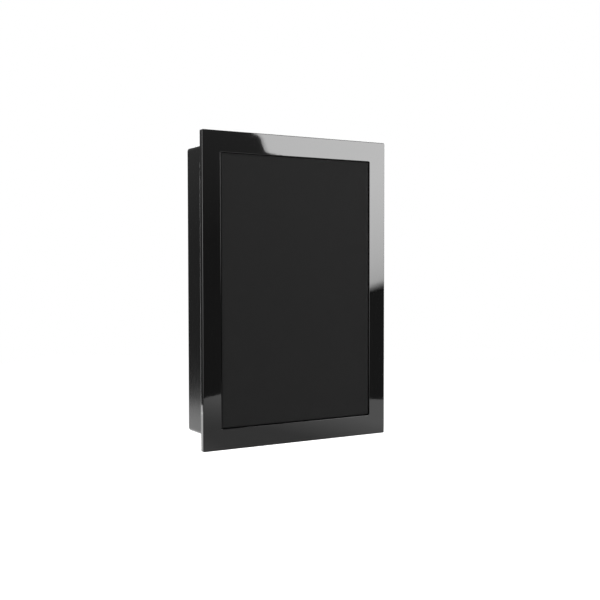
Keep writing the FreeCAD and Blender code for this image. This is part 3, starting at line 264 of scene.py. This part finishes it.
# Grille cloth: one sheet stretched over the moulded frame and folded in behind it, all in metres
grille = {
    "corner": 0.002, "leastCorner": 0.0004, "cornerSteps": 6,
    "edge": 0.0014, "rearEdge": 0.0006, "edgeSteps": 6, "fold": 0.0115, "thick": 0.0005,
    "pull": 0.00035, "pullReach": 0.02, "across": 44, "along": 68,
    "edgeSaving": 0.43,  # a rounded edge is shorter than a square one by this share of its radius
}


def rimLoop(low, high, inset, depth):  # points round a rectangle with rounded corners
    left, right = low.x + inset, high.x - inset
    bottom, top = low.z + inset, high.z - inset
    corner = max(grille["corner"] - inset, grille["leastCorner"])
    points = []
    for cx, cz, first in ((right, bottom, -90), (right, top, 0), (left, top, 90), (left, bottom, 180)):
        mx = cx - corner if cx == right else cx + corner
        mz = cz + corner if cz == bottom else cz - corner
        for k in range(grille["cornerSteps"] + 1):
            turn = math.radians(first + 90 * k / grille["cornerSteps"])
            points.append(Vector((mx + corner * math.cos(turn), depth, mz + corner * math.sin(turn))))
    return points


def makeGrilleCloth():
    low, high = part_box("grille_cloth")
    front, back = low.y, high.y
    edge, rearEdge = grille["edge"], grille["rearEdge"]
    loops = [(grille["fold"], back), (rearEdge, back), (0, back - rearEdge)]
    for k in range(grille["edgeSteps"] + 1):
        turn = math.radians(90 * k / grille["edgeSteps"])
        loops.append((edge - edge * math.cos(turn), front + edge - edge * math.sin(turn)))
    bm = bmesh.new()
    rings = [[bm.verts.new(p) for p in rimLoop(low, high, inset, depth)] for inset, depth in loops]
    count = len(rings[0])
    for inner, outer in zip(rings, rings[1:]):
        for k in range(count):
            bm.faces.new((inner[k], inner[(k + 1) % count], outer[(k + 1) % count], outer[k]))
    bm.faces.new(rings[-1])

    def inFront(v):  # on the flat field
        return abs(v.co.y - front) < 1e-6

    for axis, cuts in (("x", grille["across"]), ("z", grille["along"])):  # divide the flat field
        start, end = getattr(low, axis), getattr(high, axis)
        normal = Vector((1, 0, 0)) if axis == "x" else Vector((0, 0, 1))
        for k in range(1, cuts):
            spot = normal * (start + (end - start) * k / cuts)
            field = [f for f in bm.faces if all(inFront(v) for v in f.verts)]
            geom = list({e for f in field for e in f.edges}) + field
            bmesh.ops.bisect_plane(bm, geom=geom, plane_co=spot, plane_no=normal)
    for v in bm.verts:  # the tight cloth pulls in a hair between its frame's bars
        if inFront(v):
            x = min(abs(v.co.x - low.x), abs(v.co.x - high.x)) / grille["pullReach"]
            z = min(abs(v.co.z - low.z), abs(v.co.z - high.z)) / grille["pullReach"]
            v.co.y += grille["pull"] * min(1, x) ** 2 * min(1, z) ** 2
    return meshFrom(bm, "grilleCloth")


cloth = addPiece("grilleCloth", makeGrilleCloth(), "grilleWeave")
skin = cloth.modifiers.new("thickness", "SOLIDIFY")
skin.thickness = grille["thick"]
skin.offset = -1
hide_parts("grille_cloth")
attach(cloth, "cabinet")

# Rolls and spiders: their inner edge follows the coil, their outer edge stays on the basket
rolls = {
    "bass_surround": {"body": "bass_moving", "z": -0.105, "finish": "nitrileRubber", "slot": "black_rubber"},
    "bass_spider": {"body": "bass_moving", "z": -0.105, "finish": "dippedCloth", "slot": "spider_cloth"},
    "mid_surround": {"body": "mid_moving", "z": 0.062, "finish": "nitrileRubber", "slot": "black_rubber"},
    "mid_spider": {"body": "mid_moving", "z": 0.062, "finish": "dippedCloth", "slot": "spider_cloth"},
    "tweeter_surround": {
        "body": "tweeter_moving", "z": 0.1675, "finish": "coatedSilk", "slot": "spider_cloth"},
}
flex = {"still": 0.1, "bending": 0.8}  # shares of the width, from the outer edge in
for node, roll in rolls.items():
    piece = addPiece(node + "_roll", nodes[node].data.copy(), roll["finish"])
    radii = [math.hypot(v.co.x, v.co.z - roll["z"]) for v in piece.data.vertices]
    inner, outer = min(radii), max(radii)
    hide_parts(node)
    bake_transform(piece, "cabinet", roll["body"], start=(outer, 0, roll["z"]), end=(inner, 0, roll["z"]))
    still = flex["still"] * (outer - inner)
    span = flex["bending"] * (outer - inner)
    spots = piece.data.attributes["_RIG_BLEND"].data
    for spot, radius in zip(spots, radii):  # the same blend, all round the axis
        part = min(max((outer - radius - still) / span, 0), 1)
        spot.value = part * part * (3 - 2 * part)
print("rolls and spiders:", len(rolls))

# Damping pads: cut wadding, flat on the rear panel and crowned towards the front
wadding = {
    "cuts": 16, "tuft": 0.0022, "crown": 0.004, "clear": 0.006,
    "cornerPull": 0.06, "facePull": 0.03, "lumps": (5, 3, 12),
}


def makePads():
    low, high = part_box("damping_pads")
    rear, front = high.y, low.y
    inner = min(abs(v.co.x) for v in nodes["damping_pads"].data.vertices)
    lumpsX, lumpsY, lumpsZ = wadding["lumps"]
    bm = bmesh.new()
    for side in (-1, 1):
        left, right = sorted((side * inner, side * high.x))
        made = bmesh.ops.create_cube(bm, size=1)["verts"]
        edges = list({e for v in made for e in v.link_edges})
        bmesh.ops.subdivide_edges(bm, edges=edges, cuts=wadding["cuts"], use_grid_fill=True)
        for v in [v for v in bm.verts if not v.tag]:
            v.tag = True
            x, y, z = v.co
            corners = wadding["cornerPull"] * (abs(2 * x) * abs(2 * z)) ** 2
            squareness = 1 - corners - wadding["facePull"] * abs(2 * y) ** 3
            lump = Vector((x * lumpsX + side, y * lumpsY, z * lumpsZ))
            fluff = noise.noise(lump) * wadding["tuft"]
            hollow = wadding["crown"] * (1 - (1 - (2 * x) ** 2) * (1 - (2 * z) ** 2))
            forward = 0.5 - y  # 0 on the panel, 1 at the front
            v.co = Vector((
                (left + right) / 2 + x * (right - left - wadding["clear"]) * squareness + fluff,
                rear + (front - rear) * forward + (hollow + wadding["tuft"] + fluff) * forward,
                (low.z + high.z) / 2 + z * (high.z - low.z - wadding["clear"]) * squareness + fluff,
            ))
    return meshFrom(bm, "dampingPads")


pads = addPiece("dampingPads", makePads(), "polyesterWadding")
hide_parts("damping_pads")
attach(pads, "cabinet")
print("damping pads made")


# Studio: pale floor, one large panel of light to the right, a ring of painted dark reflection round the
# sides, white beyond
def stageMesh(name, points, faces):
    mesh = bpy.data.meshes.new(name)
    mesh.from_pydata(points, [], faces)
    prop = bpy.data.objects.new(name, mesh)
    bpy.context.scene.collection.objects.link(prop)
    mat = bpy.data.materials.new(name)
    mat.use_nodes = True
    mat.node_tree.nodes.clear()
    mesh.materials.append(mat)
    return prop, mat.node_tree


def rayKinds(tree):  # camera rays, then glossy and transmission rays
    path = addNode(tree, "ShaderNodeLightPath")
    bent = addNode(tree, "ShaderNodeMath", {"operation": "MAXIMUM"}, {
        0: path.outputs["Is Glossy Ray"], 1: path.outputs["Is Transmission Ray"]}).outputs[0]
    return path.outputs["Is Camera Ray"], bent


paleFloor = {  # white to the eye; mirrored rays see a painted shade instead, darker in an oval in front of the speaker
    "level": -0.9, "tone": "#e9e9e9", "glow": 0.8, "turn": 43.8, "size": (9.2, 9.5),
    "nose": [(1.972, -4.807), (2.006, -4.834), (2.103, -4.907), (2.213, -4.99), (2.993, -4.207)],
    "shadeCentre": (1.6, -3, -0.9), "shadeShape": (1.6, 0.55, 1), "shadeReach": (0.4, 1.4),
    "shadeTones": (0.57, 1.3),
}


def makeFloor():
    turn = math.radians(paleFloor["turn"])
    along = Vector((math.cos(turn), math.sin(turn), 0)) * paleFloor["size"][0]
    back = Vector((-math.sin(turn), math.cos(turn), 0)) * paleFloor["size"][1]
    nose = [Vector((x, y, paleFloor["level"])) for x, y in paleFloor["nose"]]
    outline = nose + [nose[-1] + along, nose[0] + back + along, nose[0] + back]
    tree = stageMesh("paleFloor", outline, [range(len(outline))])[1]
    paper = addNode(tree, "ShaderNodeBsdfDiffuse", {"Color": toLinear(paleFloor["tone"])})
    place = addNode(tree, "ShaderNodeTexCoord").outputs["Object"]
    aside = addNode(tree, "ShaderNodeVectorMath", {
        "operation": "SUBTRACT", 1: paleFloor["shadeCentre"]}, {0: place}).outputs["Vector"]
    oval = addNode(tree, "ShaderNodeVectorMath", {
        "operation": "MULTIPLY", 1: paleFloor["shadeShape"]}, {0: aside}).outputs["Vector"]
    away = addNode(tree, "ShaderNodeVectorMath", {"operation": "LENGTH"}, {0: oval}).outputs["Value"]
    shade = addNode(tree, "ShaderNodeMapRange", {  # painted shade: darker in front of the speaker, for mirrored rays only
        "From Min": paleFloor["shadeReach"][0], "From Max": paleFloor["shadeReach"][1],
        "To Min": paleFloor["shadeTones"][0], "To Max": paleFloor["shadeTones"][1],
    }, {"Value": away}).outputs["Result"]
    seen, bent = rayKinds(tree)
    whiten = addNode(tree, "ShaderNodeMath", {
        "operation": "MULTIPLY", 1: paleFloor["glow"]}, {0: seen}).outputs[0]
    glow = addNode(tree, "ShaderNodeEmission", {}, {"Strength": whiten})
    lit = addNode(tree, "ShaderNodeAddShader", {}, {0: paper.outputs[0], 1: glow.outputs[0]})
    # painted shade and reflection: mirrored rays see this glow in place of the lit floor
    mirrored = addNode(tree, "ShaderNodeEmission", {}, {"Strength": shade})
    both = addNode(tree, "ShaderNodeMixShader", {}, {0: bent, 1: lit.outputs[0], 2: mirrored.outputs[0]})
    addNode(tree, "ShaderNodeOutputMaterial", {}, {"Surface": both.outputs[0]})


lightPanel = {
    "depth": -4.2, "strength": 8.5,
    "slope": (-0.27, 0, 1), "rest": 0.965,  # its lower edge climbs to the right
    "rise": 0.8, "curve": 0.15, "softEdge": 0.085,  # dimmer low down, and soft along its lower edge
    "rimFirst": 3, "rimLast": 15, "rimWide": 0.034, "rimTone": 0.5,  # its left edge, soft too
    "outline": [
        (2.05, 1.5), (2.055, 1.2), (2.062, 0.9), (2.084, 0.894), (2.097, 0.888), (2.109, 0.882),
        (2.119, 0.867), (2.128, 0.841), (2.134, 0.824), (2.141, 0.809), (2.146, 0.799), (2.155, 0.787),
        (2.166, 0.78), (2.193, 0.775), (2.226, 0.771), (2.28, 0.768), (2.34, 0.7), (2.42, 0.4),
        (2.5, 0), (2.6, -0.263), (6.6, 0.817), (6.6, 1.5)],
}


def makePanel():
    outline = lightPanel["outline"]
    first, last = lightPanel["rimFirst"], lightPanel["rimLast"]
    inset = [(x + lightPanel["rimWide"], z) for x, z in outline[first:last]]
    count = len(outline)
    inner = [first - 1, *range(count, count + len(inset)), last]
    outer = list(range(first - 1, last + 1))
    faces = [(outer[k], outer[k + 1], inner[k + 1], inner[k]) for k in range(1, len(outer) - 2)]
    faces += [(outer[0], outer[1], inner[1]), (outer[-2], outer[-1], inner[-2])]
    faces.append([*range(first), *inner[1:-1], *range(last, count)])
    points = [(x, lightPanel["depth"], z) for x, z in outline + inset]
    panel, tree = stageMesh("lightPanel", points, faces)
    full = panel.data.attributes.new("full", "FLOAT", "POINT")
    for k, spot in enumerate(full.data):
        spot.value = lightPanel["rimTone"] if first <= k < last else 1
    place = addNode(tree, "ShaderNodeTexCoord").outputs["Object"]
    slant = addNode(tree, "ShaderNodeVectorMath", {
        "operation": "DOT_PRODUCT", 1: lightPanel["slope"]}, {0: place}).outputs["Value"]
    above = addNode(tree, "ShaderNodeMath", {  # height over its lower edge
        "operation": "ADD", 1: lightPanel["rest"]}, {0: slant}).outputs[0]
    rise = addNode(tree, "ShaderNodeMapRange", {
        "From Max": lightPanel["rise"]}, {"Value": above}).outputs["Result"]
    bend = addNode(tree, "ShaderNodeMath", {
        "operation": "POWER", 1: lightPanel["curve"]}, {0: rise}).outputs[0]
    soft = addNode(tree, "ShaderNodeMapRange", {
        "interpolation_type": "SMOOTHSTEP", "From Max": lightPanel["softEdge"],
        "To Max": lightPanel["strength"],
    }, {"Value": above}).outputs["Result"]
    fade = addNode(tree, "ShaderNodeMath", {"operation": "MULTIPLY"}, {0: bend, 1: soft}).outputs[0]
    share = addNode(tree, "ShaderNodeAttribute", {"attribute_name": "full"}).outputs["Fac"]
    strength = addNode(tree, "ShaderNodeMath", {"operation": "MULTIPLY"}, {0: fade, 1: share}).outputs[0]
    lit = addNode(tree, "ShaderNodeEmission", {}, {"Strength": strength})
    addNode(tree, "ShaderNodeOutputMaterial", {}, {"Surface": lit.outputs[0]})
    panel.visible_camera = False
    panel.visible_diffuse = False


# White sheets beside and behind, which draw the lines of light on the arrises
sheets = {
    "sideSheet": {
        "corners": [(-4, -5, -0.88), (-4, -0.5, -0.88), (-4, -0.5, 3), (-4, -5, 3)],
        "heights": (-0.88, 0.25), "tones": (2, 6)},
    "rearSheet": {
        "corners": [
            (0.6, 4, -0.9), (-2.05, 4, -0.9), (-2.034, 4, -0.83), (-2, 4, -0.76), (-1.9, 4, -0.655),
            (-1.5, 4, -0.466), (-1.2, 4, -0.18), (-0.9, 4, 0.65), (0.6, 4, 0.65)],
        "heights": (-0.9, -0.6), "tones": (0.9, 3.3), "lights": "front_frame"},
    "rearFloor": {
        "corners": [(-2.3, 2.5, -0.89), (0.6, 2.5, -0.89), (0.6, 4, -0.89), (-2.05, 4, -0.89)],
        "heights": (-0.9, -0.6), "tones": (0.8, 0.8), "lights": "front_frame"},
}


def makeSheet(name, sheet):
    prop, tree = stageMesh(name, sheet["corners"], [range(len(sheet["corners"]))])
    place = addNode(tree, "ShaderNodeTexCoord").outputs["Object"]
    height = addNode(tree, "ShaderNodeSeparateXYZ", {}, {"Vector": place}).outputs["Z"]
    fade = addNode(tree, "ShaderNodeMapRange", {
        "From Min": sheet["heights"][0], "From Max": sheet["heights"][1],
        "To Min": sheet["tones"][0], "To Max": sheet["tones"][1],
    }, {"Value": height}).outputs["Result"]
    lit = addNode(tree, "ShaderNodeEmission", {}, {"Strength": fade})
    if "lights" in sheet:  # thin gauze that shows in this piece only, with the room behind it in all others
        clear = addNode(tree, "ShaderNodeBsdfTransparent")
        lit = addNode(tree, "ShaderNodeAddShader", {}, {0: lit.outputs[0], 1: clear.outputs[0]})
        shownIn = bpy.data.collections.new(name)
        shownIn.objects.link(nodes[sheet["lights"]])
        prop.light_linking.receiver_collection = shownIn
    addNode(tree, "ShaderNodeOutputMaterial", {}, {"Surface": lit.outputs[0]})
    prop.visible_camera = False
    prop.visible_diffuse = False


paintedReflectionRing = {  # painted reflection: a ring with a lid that glows dimly in mirrored light only and casts no shadow, painted darker low down and on the left
    "radius": 8, "bottom": -7, "top": 6, "step": 5,
    "heights": (0.3, 1.6), "tones": (0.12, 0.26), "across": (-5, 5), "shares": (0.66, 1.08),
}


def makePaintedReflectionRing():
    radius = paintedReflectionRing["radius"]
    steps = [math.radians(a) for a in range(0, 360, paintedReflectionRing["step"])]
    ring = [(radius * math.sin(a), -radius * math.cos(a)) for a in steps]
    points = [(x, y, z) for x, y in ring for z in (paintedReflectionRing["bottom"], paintedReflectionRing["top"])]
    count = len(points)
    faces = [(k, k + 1, (k + 3) % count, (k + 2) % count) for k in range(0, count, 2)]
    faces.append(tuple(range(1, count, 2)))
    reflectionRing, tree = stageMesh("paintedReflectionRing", points, faces)
    place = addNode(tree, "ShaderNodeTexCoord").outputs["Object"]
    split = addNode(tree, "ShaderNodeSeparateXYZ", {}, {"Vector": place})
    tone = addNode(tree, "ShaderNodeMapRange", {
        "From Min": paintedReflectionRing["heights"][0], "From Max": paintedReflectionRing["heights"][1],
        "To Min": paintedReflectionRing["tones"][0], "To Max": paintedReflectionRing["tones"][1],
    }, {"Value": split.outputs["Z"]}).outputs["Result"]
    share = addNode(tree, "ShaderNodeMapRange", {
        "From Min": paintedReflectionRing["across"][0], "From Max": paintedReflectionRing["across"][1],
        "To Min": paintedReflectionRing["shares"][0], "To Max": paintedReflectionRing["shares"][1],
    }, {"Value": split.outputs["X"]}).outputs["Result"]
    strength = addNode(tree, "ShaderNodeMath", {"operation": "MULTIPLY"}, {0: tone, 1: share}).outputs[0]
    # painted dark reflection: this dim glow stands in for an unlit room round the speaker
    dim = addNode(tree, "ShaderNodeEmission", {}, {"Strength": strength})
    addNode(tree, "ShaderNodeOutputMaterial", {}, {"Surface": dim.outputs[0]})
    reflectionRing.visible_camera = False
    reflectionRing.visible_diffuse = False
    reflectionRing.visible_shadow = False
    reflectionRing.visible_transmission = False


studioAir = {"ambient": 0.27}  # the light from all round, under a sky that looks white


def makeAir():
    world = bpy.data.worlds.new("studioAir")
    bpy.context.scene.world = world
    world.use_nodes = True
    tree = world.node_tree
    sky = tree.nodes["Background"]
    seen, bent = rayKinds(tree)
    white = addNode(tree, "ShaderNodeMath", {"operation": "MAXIMUM"}, {0: seen, 1: bent}).outputs[0]
    strength = addNode(tree, "ShaderNodeMapRange", {
        "To Min": studioAir["ambient"], "To Max": 1}, {"Value": white}).outputs["Result"]
    tree.links.new(strength, sky.inputs["Strength"])
    sky.inputs["Color"].default_value = (1, 1, 1, 1)


lamps = {  # soft boxes: above, at the right and behind
    "topLamp": {
        "at": (0.4, -0.75, 1.2), "aim": (0.1, -0.1, 0), "wide": 1.2, "tall": 1.2, "power": 30,
        "mirrored": False},
    "fillLamp": {
        "at": (4.3, -4.2, 2.85), "aim": (4.3, 0, 2.85), "wide": 4.5, "tall": 2.7, "power": 90,
        "mirrored": False},
    "backLamp": {
        "at": (1.8, 2.6, 1.2), "aim": (0, 0, 0), "wide": 2.4, "tall": 2.4, "power": 60,
        "mirrored": True},
}


def makeLamp(name, lamp):
    data = bpy.data.lights.new(name, "AREA")
    data.shape = "RECTANGLE"
    data.size = lamp["wide"]
    data.size_y = lamp["tall"]
    data.energy = lamp["power"]
    prop = bpy.data.objects.new(name, data)
    bpy.context.scene.collection.objects.link(prop)
    prop.location = lamp["at"]
    prop.rotation_euler = (Vector(lamp["aim"]) - Vector(lamp["at"])).to_track_quat("-Z", "Y").to_euler()
    prop.visible_camera = False
    prop.visible_glossy = lamp["mirrored"]


makeFloor()
makePanel()
for name, sheet in sheets.items():
    makeSheet(name, sheet)
makePaintedReflectionRing()
makeAir()
for name, lamp in lamps.items():
    makeLamp(name, lamp)

# Camera where the photograph was taken from
shot = {
    "at": (-0.796, -1.4554, 0.0406), "tilt": 87.921, "lean": 0.069, "turn": -30.474,
    "lens": 56.63, "film": 36,
}
camera = bpy.data.objects.new("camera", bpy.data.cameras.new("camera"))
bpy.context.scene.collection.objects.link(camera)
camera.location = shot["at"]
camera.rotation_euler = [math.radians(shot[k]) for k in ("tilt", "lean", "turn")]
camera.data.lens = shot["lens"]
camera.data.sensor_width = shot["film"]
bpy.context.scene.camera = camera
bpy.context.scene.view_settings.view_transform = "Standard"
print("studio set")
